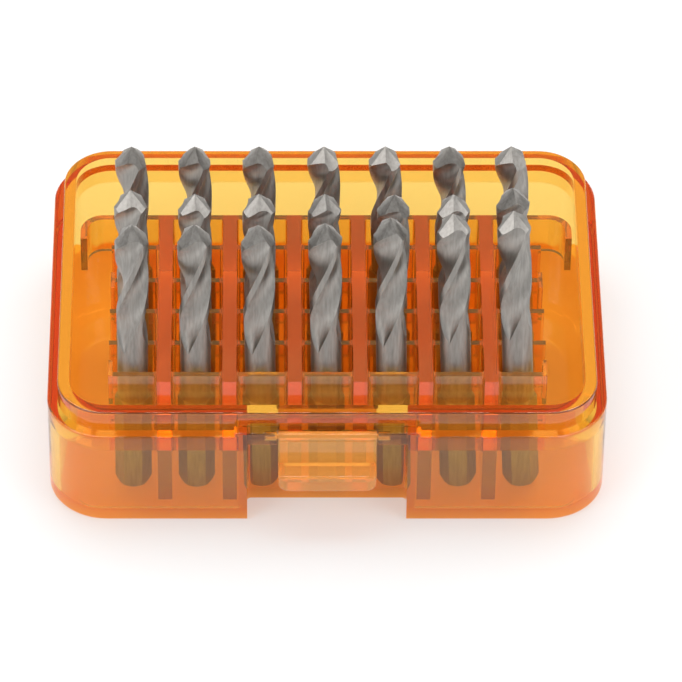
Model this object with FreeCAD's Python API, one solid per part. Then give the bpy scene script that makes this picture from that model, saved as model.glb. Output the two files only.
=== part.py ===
# Drill bit case: an open, translucent base with a lid ledge, a holder grid, a front latch flap and
# twenty one hex shank twist drills standing in three rows of seven.
# Units are millimetres. X runs left to right, Y from the front face to the back, Z up.
# The origin is on the table, under the middle of the base.
import FreeCAD
import Part
import math
import os

Vec = FreeCAD.Vector

# Base
base_width = 112.0
base_depth = 82.0
ledge_height = 23.4
lip_height = 4.7
ledge_width = 2.1
lip_thickness = 2.4
wall = 2.0
floor_thickness = 2.0
base_corner_radius = 11.8
step_slope_height = 2.6
foot_edge_round = 0.7
outer_edge_round = 0.35
floor_margin_height = 0.4
floor_pocket_width = 99.6
floor_pocket_back_gap = 2.0
floor_pocket_corner = 4.0

# Finger recess at the front of the base
recess_width = 32.0
recess_depth = 6.3
recess_wall = 1.7
recess_edge_round = 0.8

# Holder grid
holder_height = 34.2
column_count = 7
side_bay_share = 1.3077
row_places = (11.5, 29.6, 48.3)
rib_thickness = 2.8
cross_wall = 1.2
cell_depth = 7.8
cross_wall_drop = 19.7
cell_corner_radius = 0.7
holder_floor_gap = 0.05
holder_lip_gap = 0.3
holder_recess_gap = 0.3
end_tab_gap = 0.035
end_tab_thickness = 0.8
end_tab_length = 4.6
end_tab_drop = 8.4
wing_drop = 8.8
wing_thickness = 1.3
wing_lip_gap = 1.6
wing_corner_radius = 4.6
wing_return = 7.0

# Latch flap
flap_width = 19.6
flap_thickness = 1.8
flap_drop = 11.6
flap_side_gap = 0.3
knuckle_diameter = 2.1
pin_diameter = 1.1
pin_reach = 2.4
pin_clearance = 0.08
tab_reach = 3.7
tab_height = 4.7
tab_slope = 0.7
tab_corner_radius = 2.2
tab_edge_round = 0.5
lug_width = 8.4
lug_rise = 1.0
lug_drop = 1.6
lug_edge_round = 0.4
lug_depth = 1.9
knuckle_gap = 0.25

# Twist drills
hex_across_flats = 6.35
hex_length = 23.0
hex_end_chamfer = 0.6
body_diameter = 6.05
point_diameter = 6.8
head_length = 32.5
flute_count = 3
core_diameter = 3.5
flute_lead = 54.0
flute_run_out = 9.0
flute_run_in = 8.0
point_open_share = 0.35
least_open_share = 0.04
margin_angle = 20.0
point_facet_count = 6
point_slope_angle = 50.0
section_count = 24
point_allowance = 0.5
foot_gap = 0.02

# One entry for each drill of a row, from the left: its length, where its first land stands at the point's
# height, and where one of its facets looks. Both angles are turned from the front towards the right.
front_lengths = (68.4, 68.4, 68.2, 68.7, 70.2, 71.3, 72.0)
middle_lengths = (60.9, 59.9, 59.9, 59.9, 59.7, 59.7, 61.4)
back_lengths = (55.6, 55.6, 55.6, 55.6, 55.6, 55.6, 55.6)
front_land_angles = (76.0, 80.0, 78.0, 77.0, 76.0, 84.0, 78.0)
middle_land_angles = (74.0, 70.0, 82.0, 78.0, 66.0, 80.0, 76.0)
back_land_angles = (60.0, 66.0, 62.0, 52.0, 56.0, 70.0, 52.0)
front_facet_angles = (12.0, 10.0, 10.0, -4.0, 1.0, -28.0, -32.0)
middle_facet_angles = (-30.0, -26.0, -34.0, -20.0, -6.0, -30.0, -10.0)
back_facet_angles = (12.0, -10.0, 12.0, -25.0, -28.0, 8.0, -24.0)

# Where each drill's foot and shank top stand in its cell: 0 is the middle, 1 touches the right rib
front_foot_shares = (0.0, -0.14, 0.0, 0.07, 0.22, 0.43, 0.22)
front_top_shares = (0.15, -0.14, -0.2, -0.13, -0.1, -0.15, -0.57)
middle_foot_shares = (0.14, -0.07, -0.14, -0.07, 0.14, 0.22, 0.14)
middle_top_shares = (0.09, -0.13, -0.26, -0.22, 0.12, -0.19, -0.58)
back_foot_shares = (0.0, -0.07, -0.07, -0.07, -0.07, 0.14, 0.36)
back_top_shares = (-0.06, -0.19, -0.22, -0.22, -0.42, -0.35, -0.39)

overrun = 1.0
tolerance = 0.0001

# Places worked out from the sizes above
half_width = base_width / 2
half_depth = base_depth / 2
front_face = -half_depth
back_face = half_depth
rim_height = ledge_height + lip_height
lip_inset = ledge_width + lip_thickness
web_height = ledge_height - wall
recess_inner_y = front_face + recess_depth + recess_wall
recess_side = recess_width / 2 + recess_wall
hinge_y = front_face + flap_thickness / 2
hinge_z = ledge_height - knuckle_diameter / 2 + lug_rise / 2
body_radius = body_diameter / 2
hex_corner = hex_across_flats / 2 / math.cos(math.radians(30))
column_pitch = base_width / (column_count - 1 + 2 * side_bay_share)
side_play = (column_pitch - rib_thickness) / 2 - hex_corner
holder_side_reach = hex_corner + end_tab_gap + end_tab_thickness
rib_foot = floor_thickness + holder_floor_gap


def box(x0, x1, y0, y1, z0, z1):
    """A box between two corners."""
    return Part.makeBox(x1 - x0, y1 - y0, z1 - z0, Vec(x0, y0, z0))


def rounded_outline(x0, x1, y0, y1, radius, z):
    """A closed rounded rectangle, as a wire at height z."""
    turn = radius * (1 - math.sqrt(0.5))
    corners = (
        (Vec(x1 - radius, y0, z), Vec(x1 - turn, y0 + turn, z), Vec(x1, y0 + radius, z)),
        (Vec(x1, y1 - radius, z), Vec(x1 - turn, y1 - turn, z), Vec(x1 - radius, y1, z)),
        (Vec(x0 + radius, y1, z), Vec(x0 + turn, y1 - turn, z), Vec(x0, y1 - radius, z)),
        (Vec(x0, y0 + radius, z), Vec(x0 + turn, y0 + turn, z), Vec(x0 + radius, y0, z)),
    )
    edges = []
    for index, corner in enumerate(corners):
        edges.append(Part.Arc(*corner).toShape())
        edges.append(Part.LineSegment(corner[2], corners[(index + 1) % 4][0]).toShape())
    return Part.Wire(edges)


def inset_outline(inset, z):
    """The base's plan, drawn in by an inset."""
    return rounded_outline(
        -half_width + inset, half_width - inset,
        front_face + inset, back_face - inset,
        base_corner_radius - inset, z,
    )


def inset_block(inset, z0, z1):
    """An upright block on the base's plan, drawn in by an inset."""
    return Part.Face(inset_outline(inset, z0)).extrude(Vec(0, 0, z1 - z0))


def edges_where(shape, test):
    """The edges of a shape whose middle point passes a test."""
    found = []
    for edge in shape.Edges:
        middle = edge.valueAt((edge.FirstParameter + edge.LastParameter) / 2)
        if test(edge, middle):
            found.append(edge)
    return found


def near(value, target):
    """Whether two places are the same."""
    return abs(value - target) < tolerance


def make_cavity():
    """The space inside the base, drawn in under the lip so that the rim steps inward."""
    slope_low = web_height - step_slope_height
    low = inset_block(wall, floor_thickness + floor_margin_height, slope_low)
    step = Part.makeLoft([inset_outline(wall, slope_low), inset_outline(lip_inset, web_height)], True)
    mouth = inset_block(lip_inset, web_height, rim_height + overrun)
    pocket_outline = rounded_outline(
        -floor_pocket_width / 2, floor_pocket_width / 2,
        front_face + wall + floor_margin_height, back_face - wall - floor_pocket_back_gap,
        floor_pocket_corner, floor_thickness,
    )
    pocket = Part.Face(pocket_outline).extrude(Vec(0, 0, floor_margin_height + overrun))
    return low.fuse([step, mouth, pocket])


def make_recess_block():
    """The solid that closes the cavity round the finger recess, with a shelf under the lip."""
    return box(
        -recess_side, recess_side,
        front_face + ledge_width, recess_inner_y,
        floor_thickness / 2, ledge_height,
    )


def make_lugs():
    """Two hinge lugs that stand a little above the ledge, one at each side of the flap."""
    lugs = []
    for side in (-1, 1):
        inner = side * (flap_width / 2 + flap_side_gap)
        outer = inner + side * lug_width
        lug = box(
            min(inner, outer), max(inner, outer),
            front_face, front_face + lug_depth + overrun,
            ledge_height - lug_drop, ledge_height + lug_rise,
        )
        top = ledge_height + lug_rise
        front_edges = edges_where(lug, lambda edge, at: near(at.y, front_face) and near(at.z, top))
        lugs.append(lug.makeFillet(lug_edge_round, front_edges))
    return lugs


def make_base_shell():
    """The one piece base: floor, walls, ledge, lid lip, finger recess and hinge lugs."""
    body = inset_block(0, 0, ledge_height)
    foot = edges_where(body, lambda edge, at: near(at.z, 0))
    body = body.makeFillet(foot_edge_round, foot)
    rim = edges_where(body, lambda edge, at: near(at.z, ledge_height))
    body = body.makeFillet(outer_edge_round, rim)
    lip = inset_block(ledge_width, floor_thickness, rim_height)
    lip_edges = edges_where(lip, lambda edge, at: near(at.z, rim_height))
    lip = lip.makeFillet(outer_edge_round, lip_edges)
    body = body.fuse(lip).cut(make_cavity())
    body = body.fuse(make_recess_block())
    recess = box(
        -recess_width / 2, recess_width / 2,
        front_face - overrun, front_face + recess_depth,
        -overrun, web_height,
    )
    recess_edges = edges_where(recess, lambda edge, at: near(at.y, front_face + recess_depth))
    upright = [edge for edge in recess_edges if near(edge.BoundBox.ZLength, web_height + overrun)]
    body = body.cut(recess.makeFillet(recess_edge_round, upright))
    body = body.fuse(make_lugs())
    knuckle_space = box(
        -flap_width / 2 - flap_side_gap, flap_width / 2 + flap_side_gap,
        front_face - overrun, hinge_y + knuckle_diameter / 2 + knuckle_gap,
        web_height - overrun, ledge_height + lug_rise + overrun,
    )
    body = body.cut(knuckle_space)
    bore_half = flap_width / 2 + pin_reach + flap_side_gap
    bore = Part.makeCylinder(
        pin_diameter / 2 + pin_clearance, 2 * bore_half,
        Vec(-bore_half, hinge_y, hinge_z), Vec(1, 0, 0),
    )
    return body.cut(bore).removeSplitter()


def cross_wall_places():
    """The front face of each cross wall, two walls to a row."""
    places = []
    for row in row_places:
        centre = front_face + row
        places.append(centre - cell_depth / 2 - cross_wall)
        places.append(centre + cell_depth / 2)
    return places


def make_wing():
    """The holder's back wall, carried out to the side walls with rounded ends that turn forward."""
    half_span = half_width - lip_inset - wing_lip_gap
    back = cross_wall_places()[-1] + cross_wall
    front = back - wing_return
    outer = rounded_outline(
        -half_span, half_span, front - 2 * wing_corner_radius, back,
        wing_corner_radius, 0,
    )
    inner_radius = wing_corner_radius - wing_thickness
    inner = rounded_outline(
        -half_span + wing_thickness, half_span - wing_thickness,
        front - 2 * wing_corner_radius, back - wing_thickness, inner_radius, 0,
    )
    ring = Part.Face(outer).extrude(Vec(0, 0, wing_drop)).cut(Part.Face(inner).extrude(Vec(0, 0, wing_drop)))
    ring.translate(Vec(0, 0, holder_height - wing_drop))
    keep = box(-half_width, half_width, front, back + overrun, 0, holder_height + overrun)
    return ring.common(keep)


def make_bit_holder():
    """The grid that the drills stand in: six ribs front to back, and two cross walls to a row."""
    walls = cross_wall_places()
    grid_half = (column_count - 1) / 2 * column_pitch + holder_side_reach
    rib_front = front_face + lip_inset + holder_lip_gap
    rib_back = walls[-1] + cross_wall
    solids = []
    for index in range(column_count - 1):
        middle = (index - (column_count - 2) / 2) * column_pitch
        rib = box(
            middle - rib_thickness / 2, middle + rib_thickness / 2,
            rib_front, rib_back, rib_foot, holder_height,
        )
        solids.append(rib)
    for place in walls:
        cross = box(
            -grid_half, grid_half, place, place + cross_wall,
            holder_height - cross_wall_drop, holder_height,
        )
        solids.append(cross)
    for place in (walls[0], walls[3] - end_tab_length / 2 + cross_wall / 2):
        for side in (-1, 1):
            outer = side * grid_half
            inner = outer - side * end_tab_thickness
            tab = box(
                min(inner, outer), max(inner, outer), place, place + end_tab_length,
                holder_height - end_tab_drop, holder_height,
            )
            solids.append(tab)
    grid = solids[0].fuse(solids[1:]).removeSplitter()
    inner_half = grid_half - rib_thickness
    corners = edges_where(
        grid,
        lambda edge, at: near(edge.BoundBox.ZLength, cross_wall_drop) and abs(at.x) < inner_half,
    )
    grid = grid.makeFillet(cell_corner_radius, corners)
    grid = grid.fuse(make_wing()).removeSplitter()
    clear_of_recess = box(
        -recess_side - holder_recess_gap, recess_side + holder_recess_gap,
        rib_front - overrun, recess_inner_y + holder_recess_gap,
        0, ledge_height + holder_recess_gap,
    )
    return grid.cut(clear_of_recess)


def make_front_latch():
    """The flap that hangs from the lugs: knuckle, end pins, plate and finger tab in one moulding."""
    half = flap_width / 2
    plate_bottom = ledge_height - flap_drop
    knuckle = Part.makeCylinder(knuckle_diameter / 2, flap_width, Vec(-half, hinge_y, hinge_z), Vec(1, 0, 0))
    pin_half = half + pin_reach
    pin = Part.makeCylinder(pin_diameter / 2, 2 * pin_half, Vec(-pin_half, hinge_y, hinge_z), Vec(1, 0, 0))
    plate = box(-half, half, front_face, front_face + flap_thickness, plate_bottom, hinge_z)
    tab_profile = [
        Vec(-half, front_face + flap_thickness / 2, plate_bottom),
        Vec(-half, front_face - tab_reach, plate_bottom),
        Vec(-half, front_face - tab_reach, plate_bottom + tab_height - tab_slope),
        Vec(-half, front_face + flap_thickness / 2, plate_bottom + tab_height),
    ]
    tab = Part.Face(Part.makePolygon(tab_profile + tab_profile[:1])).extrude(Vec(flap_width, 0, 0))
    blade = plate.fuse(tab).removeSplitter()
    lower_corners = edges_where(
        blade,
        lambda edge, at: near(abs(at.x), half) and near(at.z, plate_bottom),
    )
    blade = blade.makeFillet(tab_corner_radius, lower_corners)
    front_edges = edges_where(blade, lambda edge, at: near(at.y, front_face - tab_reach))
    blade = blade.makeFillet(tab_edge_round, front_edges)
    return blade.fuse([knuckle, pin]).removeSplitter()


def polar(radius, degrees, z):
    """A point on a circle round the drill's axis."""
    angle = math.radians(degrees)
    return Vec(radius * math.cos(angle), radius * math.sin(angle), z)


def arc(*points):
    """An edge on the circle through three points."""
    return Part.Arc(*points).toShape()


def flute_section(radius, open_share, turn, z):
    """The drill's section: narrow lands on the outer circle, with a shallow hollow flute before each."""
    pitch_angle = 360 / flute_count
    flute_angle = (pitch_angle - margin_angle) * open_share
    core_radius = radius + (core_diameter / 2 - radius) * open_share
    edges = []
    for index in range(flute_count):
        heel = turn - margin_angle / 2 + pitch_angle * index
        lead = heel + pitch_angle - flute_angle
        edges.append(arc(
            polar(radius, heel, z),
            polar(radius, (heel + lead) / 2, z),
            polar(radius, lead, z),
        ))
        edges.append(arc(
            polar(radius, lead, z),
            polar(core_radius, lead + flute_angle / 2, z),
            polar(radius, lead + flute_angle, z),
        ))
    return Part.Wire(edges)


def eased(share):
    """Nought to one, quick at first and then slower, and never more than one."""
    share = min(max(share, 0), 1)
    return share * (2 - share)


def make_fluted_bar():
    """The twisted, fluted part, a little too long; a land is at +X at the height of the point."""
    sections = []
    for index in range(section_count + 1):
        z = (head_length + point_allowance) * index / section_count
        run_in = point_open_share + (1 - point_open_share) * eased((head_length - z) / flute_run_in)
        open_share = max(eased(z / flute_run_out), least_open_share) * run_in
        radius = body_radius + (point_diameter / 2 - body_radius) * z / head_length
        sections.append(flute_section(radius, open_share, 360 * (z - head_length) / flute_lead, z))
    return Part.makeLoft(sections, True, False)


def grind_point(bar, facet_angle):
    """The bar's end ground to a blunt point with flat facets all round."""
    size = 2 * body_diameter
    for index in range(point_facet_count):
        direction = facet_angle + 360 / point_facet_count * index
        normal = polar(math.tan(math.radians(point_slope_angle)), direction, 1).normalize()
        block = Part.makeBox(2 * size, 2 * size, size, Vec(-size, -size, 0))
        block.Placement = FreeCAD.Placement(Vec(0, 0, head_length), FreeCAD.Rotation(Vec(0, 0, 1), normal))
        bar = bar.cut(block)
    return bar


def make_shank(neck_length):
    """The hex shank, its chamfers and the round neck up to the flutes."""
    total = hex_length + neck_length
    hexagon = Part.makePolygon([polar(hex_corner, 60 * index, 0) for index in range(7)])
    prism = Part.Face(hexagon).extrude(Vec(0, 0, total))
    end_radius = hex_corner - hex_end_chamfer
    profile = [
        Vec(0, 0, 0),
        Vec(end_radius, 0, 0),
        Vec(hex_corner, 0, hex_end_chamfer),
        Vec(hex_corner, 0, hex_length - (hex_corner - body_radius)),
        Vec(body_radius, 0, hex_length),
        Vec(body_radius, 0, total),
        Vec(0, 0, total),
    ]
    turned = Part.Face(Part.makePolygon(profile + profile[:1])).revolve(Vec(0, 0, 0), Vec(0, 0, 1), 360)
    return prism.common(turned)


def make_drill(bar, length, land_angle, facet_angle):
    """A whole drill, standing upright on the origin. Its angles are turned from -Y towards +X."""
    neck_top = length - head_length
    fluted = grind_point(bar, facet_angle - land_angle)
    fluted.rotate(Vec(0, 0, 0), Vec(0, 0, 1), land_angle - 90)
    fluted.translate(Vec(0, 0, neck_top))
    return make_shank(neck_top - hex_length).fuse(fluted).removeSplitter()


def place_drill(drill, column, row_place, foot, top):
    """Stands a drill in its cell, leaning to one side as it rests there."""
    lean = math.atan(side_play * (top - foot) / hex_length)
    drill.rotate(Vec(0, 0, 0), Vec(0, 1, 0), math.degrees(lean))
    lift = hex_corner * math.sin(abs(lean)) + foot_gap
    x = (column - (column_count - 1) / 2) * column_pitch + side_play * foot
    drill.translate(Vec(x, front_face + row_place, floor_thickness + lift))
    return drill


def write(name, shape):
    """Writes one node and says how many solids it has."""
    shape.exportStep("parts/" + name + ".step")
    print(name, len(shape.Solids), "solid", round(shape.Volume, 1), "mm3", shape.isValid())


def main():
    os.makedirs("parts", exist_ok=True)
    write("base_shell", make_base_shell())
    write("bit_holder", make_bit_holder())
    write("front_latch", make_front_latch())
    bar = make_fluted_bar()
    rows = (
        ("front", row_places[0], front_lengths, front_land_angles, front_facet_angles),
        ("middle", row_places[1], middle_lengths, middle_land_angles, middle_facet_angles),
        ("back", row_places[2], back_lengths, back_land_angles, back_facet_angles),
    )
    stands = (
        (front_foot_shares, front_top_shares),
        (middle_foot_shares, middle_top_shares),
        (back_foot_shares, back_top_shares),
    )
    for (row, place, lengths, lands, facets), (feet, tops) in zip(rows, stands):
        for column in range(column_count):
            drill = make_drill(bar, lengths[column], lands[column], facets[column])
            drill = place_drill(drill, column, place, feet[column], tops[column])
            write(row + "_drill_bit_" + str(column + 1), drill)


main()
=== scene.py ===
import math

import bpy
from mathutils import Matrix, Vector


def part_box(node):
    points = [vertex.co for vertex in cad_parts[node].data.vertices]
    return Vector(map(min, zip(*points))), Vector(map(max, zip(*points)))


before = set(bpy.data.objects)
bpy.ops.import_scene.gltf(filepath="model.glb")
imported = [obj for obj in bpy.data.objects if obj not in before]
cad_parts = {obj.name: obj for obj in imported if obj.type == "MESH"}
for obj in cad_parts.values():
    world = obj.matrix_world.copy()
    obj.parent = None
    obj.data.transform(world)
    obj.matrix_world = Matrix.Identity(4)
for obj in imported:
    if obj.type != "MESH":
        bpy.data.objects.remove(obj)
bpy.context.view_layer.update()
scene = bpy.context.scene
mm = 0.001
white = (1, 1, 1, 1)


def toLinear(code):
    # sRGB hex to the linear colour that the shaders want
    parts = [int(code[i:i + 2], 16) / 255 for i in (1, 3, 5)]
    return [p / 12.92 if p <= 0.04045 else ((p + 0.055) / 1.055) ** 2.4 for p in parts] + [1.0]


def addNode(tree, kind, links=None, **settings):
    # links maps a socket to another node's output, settings are node options or socket values
    node = tree.nodes.new(kind)
    for name, value in settings.items():
        if hasattr(node, name):
            setattr(node, name, value)
        else:
            node.inputs[name.replace("_", " ")].default_value = value
    for name, source in (links or {}).items():
        tree.links.new(source, node.inputs[name])
    return node


def newMaterial(name):
    material = bpy.data.materials.new(name)
    material.use_nodes = True
    material.node_tree.nodes.clear()
    return material, material.node_tree


def addObject(name, data):
    made = bpy.data.objects.new(name, data)
    scene.collection.objects.link(made)
    return made


# camera, long lens from high in front, a little left of the middle
view = {
    "place": (-12.43 * mm, -836.7 * mm, 818.5 * mm),
    "tilt": 46.0,  # degrees up from straight down
    "focalPixels": 5665.9,
    "imageWidth": 682,
    "sensorMm": 36.0,
    "shiftX": 0.1115,
    "clip": (0.1, 20.0),
}
lens = bpy.data.cameras.new("camera")
lens.sensor_width = view["sensorMm"]
lens.lens = view["focalPixels"] / view["imageWidth"] * lens.sensor_width
lens.shift_x = view["shiftX"]
lens.clip_start, lens.clip_end = view["clip"]
camera = addObject("camera", lens)
camera.location = view["place"]
camera.rotation_euler = (math.radians(view["tilt"]), 0, 0)
scene.camera = camera
print("camera set")

# white table, a hair up into the case's flat floor, so that no film of air shows between the two
table = {
    "halfSize": 3.0,
    "pressedMm": 0.02,
    "diffuse": "#d9d9d9",  # for the light that it throws back on the case
    "seenShade": "#b6b6b6",  # as camera, steel and plastic see it, with the white glow on top
    "glow": 0.36,
    # under the case, a ray that came through plastic sees a painted pool of orange light instead: a painted
    # shade and a painted glow, standing in for lamp light through the plastic
    "paintedPoolShade": "#c09852",
    "paintedPoolGlow": "#ffb65c",
    "paintedPoolStrength": 0.32,
}
half = table["halfSize"]
corners = [(x * half, y * half, table["pressedMm"] * mm) for x, y in ((-1, -1), (1, -1), (1, 1), (-1, 1))]
sheet = bpy.data.meshes.new("table")
sheet.from_pydata(corners, [], [(0, 1, 2, 3)])
floor = addObject("table", sheet)


def seenRays(tree):
    # 1 for camera, glossy and transmission rays, which see the white background itself
    path = addNode(tree, "ShaderNodeLightPath")
    both = addNode(tree, "ShaderNodeMath",
                   {0: path.outputs["Is Camera Ray"], 1: path.outputs["Is Glossy Ray"]}, operation="MAXIMUM")
    return addNode(tree, "ShaderNodeMath", {0: both.outputs[0], 1: path.outputs["Is Transmission Ray"]},
                   operation="MAXIMUM").outputs[0]


def underCase(tree):
    # 1 inside the box round the base, seen from above, and 0 outside it: where the table's painted pool of
    # orange light goes
    where = addNode(tree, "ShaderNodeTexCoord")
    along = addNode(tree, "ShaderNodeSeparateXYZ", {0: where.outputs["Object"]})
    low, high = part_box("base_shell")
    spans = []
    for axis, name in enumerate(("X", "Y")):
        span = addNode(tree, "ShaderNodeMath", {0: along.outputs[name]}, operation="COMPARE")
        span.inputs[1].default_value = (low[axis] + high[axis]) / 2
        span.inputs[2].default_value = (high[axis] - low[axis]) / 2
        spans.append(span.outputs[0])
    return addNode(tree, "ShaderNodeMath", {0: spans[0], 1: spans[1]}, operation="MULTIPLY").outputs[0]


def makeTablePaint():
    # a table under tinted plastic is lit orange through it; here that pool is painted, with a glow of its
    # own, and only a ray that came through plastic sees it
    material, tree = newMaterial("white_table_painted_pool")
    plain = addNode(tree, "ShaderNodeBsdfDiffuse", Color=toLinear(table["diffuse"]))
    shade = addNode(tree, "ShaderNodeBsdfDiffuse", Color=toLinear(table["seenShade"]))
    glow = addNode(tree, "ShaderNodeEmission", Color=white, Strength=table["glow"])
    bare = addNode(tree, "ShaderNodeAddShader", {0: shade.outputs[0], 1: glow.outputs[0]})
    paintedPoolShade = addNode(tree, "ShaderNodeBsdfDiffuse", Color=toLinear(table["paintedPoolShade"]))
    paintedPoolGlow = addNode(tree, "ShaderNodeEmission", Color=toLinear(table["paintedPoolGlow"]),
                       Strength=table["paintedPoolStrength"])
    pool = addNode(tree, "ShaderNodeAddShader", {0: paintedPoolShade.outputs[0], 1: paintedPoolGlow.outputs[0]})
    path = addNode(tree, "ShaderNodeLightPath")
    inPaintedPool = addNode(tree, "ShaderNodeMath", {0: path.outputs["Is Transmission Ray"], 1: underCase(tree)},
                     operation="MULTIPLY")
    seen = addNode(tree, "ShaderNodeMixShader",
                   {0: inPaintedPool.outputs[0], 1: bare.outputs[0], 2: pool.outputs[0]})
    mixed = addNode(tree, "ShaderNodeMixShader", {0: seenRays(tree), 1: plain.outputs[0], 2: seen.outputs[0]})
    addNode(tree, "ShaderNodeOutputMaterial", {"Surface": mixed.outputs[0]})
    return material


floor.data.materials.append(makeTablePaint())

# white surround level with the table, and dim overhead
surround = {
    "light": 0.6,  # the strength that lights the object
    "seen": 1.0,  # the strength seen level with the table
    "ceiling": 0.16,  # the strength seen overhead
    "from": 0.12,  # the upward part of a direction where it starts to dim, and where it is dim
    "to": 0.45,
}


def makeSurround():
    world = bpy.data.worlds.new("surround")
    world.use_nodes = True
    tree = world.node_tree
    tree.nodes.clear()
    heading = addNode(tree, "ShaderNodeTexCoord")
    height = addNode(tree, "ShaderNodeSeparateXYZ", {0: heading.outputs["Generated"]})
    overhead = addNode(tree, "ShaderNodeMapRange", {"Value": height.outputs["Z"]},
                       From_Min=surround["from"], From_Max=surround["to"],
                       To_Min=surround["seen"], To_Max=surround["ceiling"])
    dim = addNode(tree, "ShaderNodeBackground", Color=white, Strength=surround["light"])
    bright = addNode(tree, "ShaderNodeBackground", {"Strength": overhead.outputs[0]}, Color=white)
    mixed = addNode(tree, "ShaderNodeMixShader", {0: seenRays(tree), 1: dim.outputs[0], 2: bright.outputs[0]})
    addNode(tree, "ShaderNodeOutputWorld", {"Surface": mixed.outputs[0]})
    return world


scene.world = makeSurround()

# two soft boxes in front, left and right of the camera, and a wide one overhead, a little behind the case
softBoxes = {
    "left_softbox": {"place": (-1.0, -0.75, 1.05), "size": (0.8, 1.1), "watts": 9.0},
    "right_softbox": {"place": (1.05, -0.7, 1.0), "size": (0.8, 1.1), "watts": 7.0},
    "top_softbox": {"place": (0.0, 0.45, 1.4), "size": (1.3, 0.9), "watts": 18.0},
}
for name, box in softBoxes.items():
    lamp = bpy.data.lights.new(name, "AREA")
    lamp.shape = "RECTANGLE"
    lamp.size, lamp.size_y = box["size"]
    lamp.energy = box["watts"]
    stand = addObject(name, lamp)
    stand.location = box["place"]
    stand.rotation_euler = (-Vector(box["place"])).to_track_quat("-Z", "Y").to_euler()  # it faces the case
print("table, surround and soft boxes set")

# injection moulded polycarbonate, clear and tinted orange: each wall tints what lies behind it, a long way
# through the plastic tints it more, and a slow ripple from the mould bends it a little
mouldedPlastic = {
    "ior": 1.58,
    "shine": 0.2,
    "lampTint": "#dca660",  # what a lamp's light keeps through a whole wall, set apart from the skin
    "rippleMm": 9.0,
    "rippleDetail": 2.0,
    "rippleRiseMm": 1.0,
    "ripple": 0.02,
}
# the skin tints at each face and the body on the way between them; what isn't clear looks milky
plasticPieces = {
    "base_shell": {"skin": "#fdec94", "body": "#fbd400", "perMetre": 220, "roughness": 0.03, "clear": 0.98},
    "bit_holder": {"skin": "#ffd484", "body": "#fddc00", "perMetre": 80, "roughness": 0.06, "clear": 0.92},
    "front_latch": {"skin": "#ffd478", "body": "#fbd400", "perMetre": 200, "roughness": 0.04, "clear": 0.74},
}


def makePlastic(name, finish):
    material, tree = newMaterial(name)
    where = addNode(tree, "ShaderNodeTexCoord")
    ripple = addNode(tree, "ShaderNodeTexNoise", {"Vector": where.outputs["Object"]},
                     Scale=1 / (mouldedPlastic["rippleMm"] * mm), Detail=mouldedPlastic["rippleDetail"])
    bump = addNode(tree, "ShaderNodeBump", {"Height": ripple.outputs[0]},
                   Strength=mouldedPlastic["ripple"], Distance=mouldedPlastic["rippleRiseMm"] * mm)
    body = addNode(tree, "ShaderNodeBsdfPrincipled", {"Normal": bump.outputs[0]},
                   Base_Color=toLinear(finish["skin"]), Roughness=finish["roughness"],
                   IOR=mouldedPlastic["ior"], Specular_IOR_Level=mouldedPlastic["shine"],
                   Transmission_Weight=finish["clear"])
    # a lamp's light crosses two faces a wall, so each face takes the square root of the tint
    oneFace = [math.sqrt(part) for part in toLinear(mouldedPlastic["lampTint"])[:3]] + [1.0]
    through = addNode(tree, "ShaderNodeBsdfTransparent", Color=oneFace)
    path = addNode(tree, "ShaderNodeLightPath")
    mixed = addNode(tree, "ShaderNodeMixShader",
                    {0: path.outputs["Is Shadow Ray"], 1: body.outputs[0], 2: through.outputs[0]})
    inside = addNode(tree, "ShaderNodeVolumeAbsorption",
                     Color=toLinear(finish["body"]), Density=finish["perMetre"])
    addNode(tree, "ShaderNodeOutputMaterial", {"Surface": mixed.outputs[0], "Volume": inside.outputs[0]})
    return material


def dress(node, material):
    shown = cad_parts[node]
    shown.data.materials.clear()
    shown.data.materials.append(material)


for node, finish in plasticPieces.items():
    dress(node, makePlastic("tinted_polycarbonate_" + node, finish))
print("plastic set")

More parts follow.
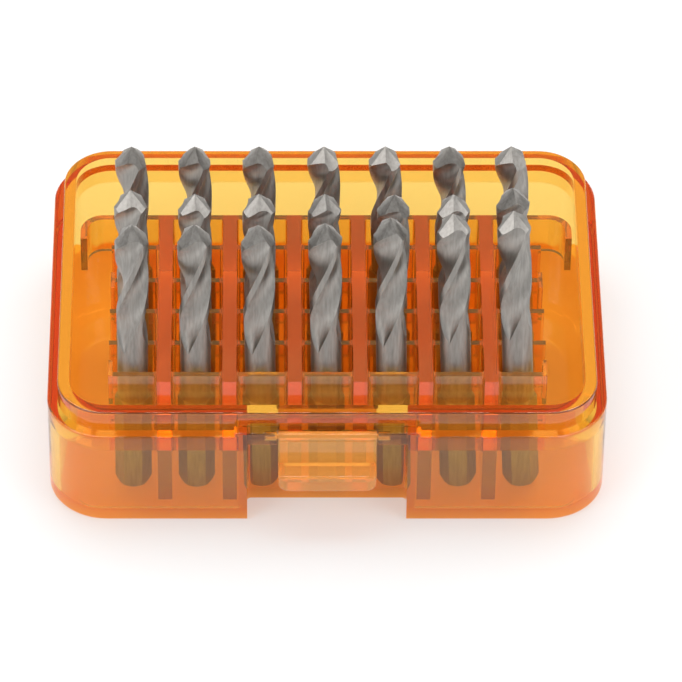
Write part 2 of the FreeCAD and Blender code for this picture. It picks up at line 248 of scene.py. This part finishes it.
# ground high speed steel: a soft satin shine drawn out along the drill, and pale and dark streaks the same
# way; real grinding lines are too fine to show, so the streaks are drawn about half a millimetre wide
groundSteel = {
    "pale": "#bab6b0",
    "dark": "#807c78",
    "roughness": (0.40, 0.50),
    "streakMm": 0.5,
    "streakSquash": 0.12,  # the streaks' scale along the drill, as a share of that across it
    "streakDetail": 2.0,
    "lineRiseMm": 0.02,
    "lines": 0.12,
    "brushed": 0.85,
    "brushTurn": 0.25,  # a quarter turn, from around the drill to along it
}


def makeSteel(name):
    material, tree = newMaterial(name)
    where = addNode(tree, "ShaderNodeTexCoord")
    stretch = addNode(tree, "ShaderNodeMapping", {"Vector": where.outputs["Object"]},
                      Scale=(1.0, 1.0, groundSteel["streakSquash"]))
    grit = addNode(tree, "ShaderNodeTexNoise", {"Vector": stretch.outputs[0]},
                   Scale=1 / (groundSteel["streakMm"] * mm), Detail=groundSteel["streakDetail"])
    tone = addNode(tree, "ShaderNodeMix", {"Factor": grit.outputs[0]}, data_type="RGBA",
                   A=toLinear(groundSteel["dark"]), B=toLinear(groundSteel["pale"]))
    low, high = groundSteel["roughness"]
    polish = addNode(tree, "ShaderNodeMapRange", {"Value": grit.outputs[0]}, To_Min=low, To_Max=high)
    bump = addNode(tree, "ShaderNodeBump", {"Height": grit.outputs[0]},
                   Strength=groundSteel["lines"], Distance=groundSteel["lineRiseMm"] * mm)
    aroundAxis = addNode(tree, "ShaderNodeTangent", direction_type="RADIAL", axis="Z")
    body = addNode(tree, "ShaderNodeBsdfPrincipled",
                   {"Base Color": tone.outputs["Result"], "Roughness": polish.outputs[0],
                    "Normal": bump.outputs[0], "Tangent": aroundAxis.outputs[0]},
                   Metallic=1.0, Anisotropic=groundSteel["brushed"],
                   Anisotropic_Rotation=groundSteel["brushTurn"])
    addNode(tree, "ShaderNodeOutputMaterial", {"Surface": body.outputs[0]})
    return material


steel = makeSteel("ground_high_speed_steel")
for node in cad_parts:
    if "drill_bit" in node:
        dress(node, steel)
print("steel set")

# a look through the case crosses many clear walls, so a ray may pass many faces
bounces = {"max_bounces": 32, "transmission_bounces": 32, "transparent_max_bounces": 32, "glossy_bounces": 6}
for name, count in bounces.items():
    setattr(scene.cycles, name, count)
scene.view_settings.view_transform = "Standard"
